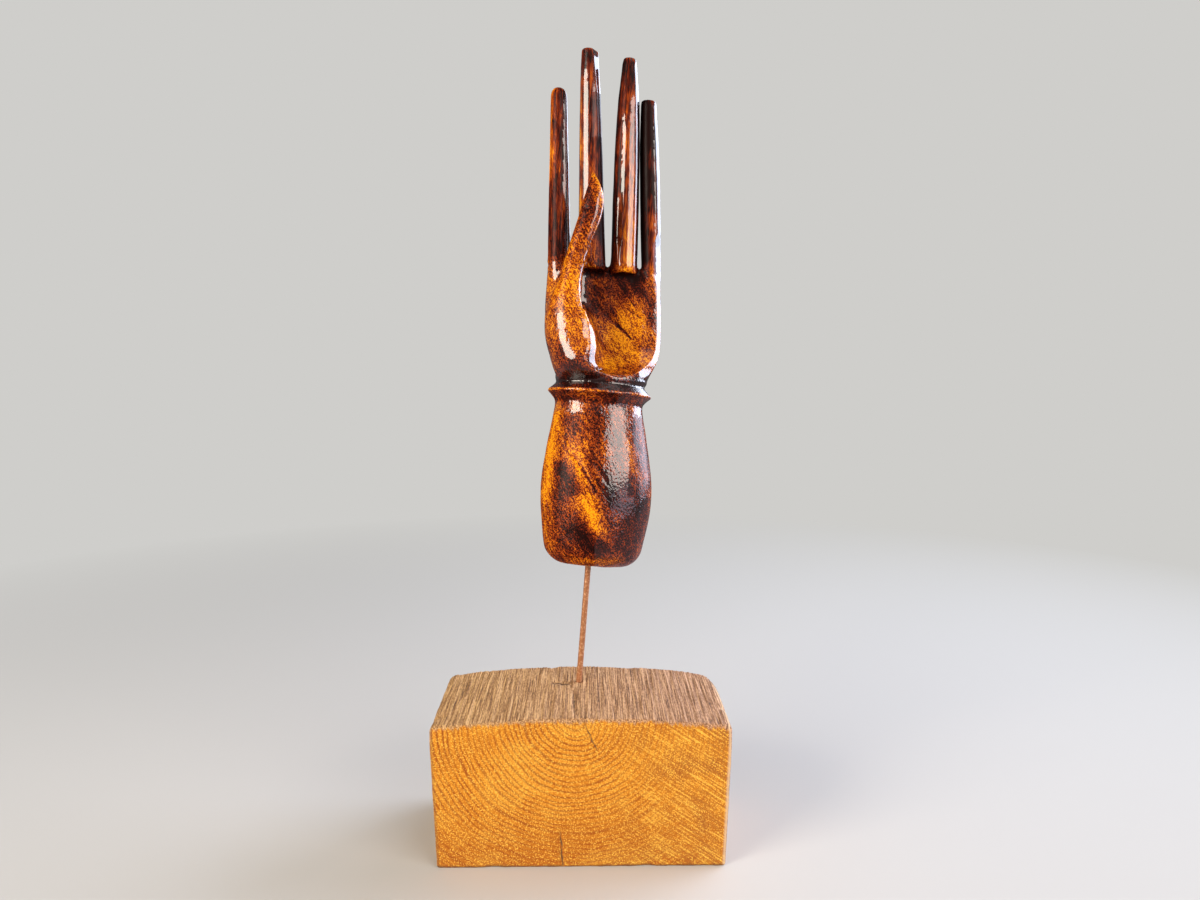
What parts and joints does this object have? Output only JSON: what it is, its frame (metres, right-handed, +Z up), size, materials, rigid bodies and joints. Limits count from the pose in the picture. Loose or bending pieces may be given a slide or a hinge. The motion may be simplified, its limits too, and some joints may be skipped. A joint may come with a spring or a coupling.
{
  "type": "carved buddha hand",
  "caption": "Carved raised hand with a hollow palm and sharp-rimmed bracelet, standing on a thin leaning rod in a crowned timber block; a desk or shelf ornament.",
  "frame": {"origin": "centre of the timber block's flat underside", "axes": "+Z up, -Y towards the palm and the block's end grain, +X towards the little finger's side"},
  "size_m": [0.14, 0.089, 0.3907],
  "materials": {
    "timber": "weathered, unfinished",
    "steel": "rusty",
    "hardwood": "stained and varnished, glossy"
  },
  "bodies": {
    "block": {"base_block": "timber"},
    "rod": {"mounting_rod": "steel"},
    "hand": {"carved_hand": "hardwood"}
  },
  "joints": [
    {"name": "hand_swivel", "type": "hinge", "parent": "block", "child": "rod", "pos_m": [-0.0013, 0.013, 0.0725], "axis": [0.0813, 0.1289, 0.9883], "continuous": true},
    {"name": "hand_lift", "type": "slide", "parent": "rod", "child": "hand", "axis": [0.0813, 0.1289, 0.9883], "range_m": [0, 0.048]}
  ]
}
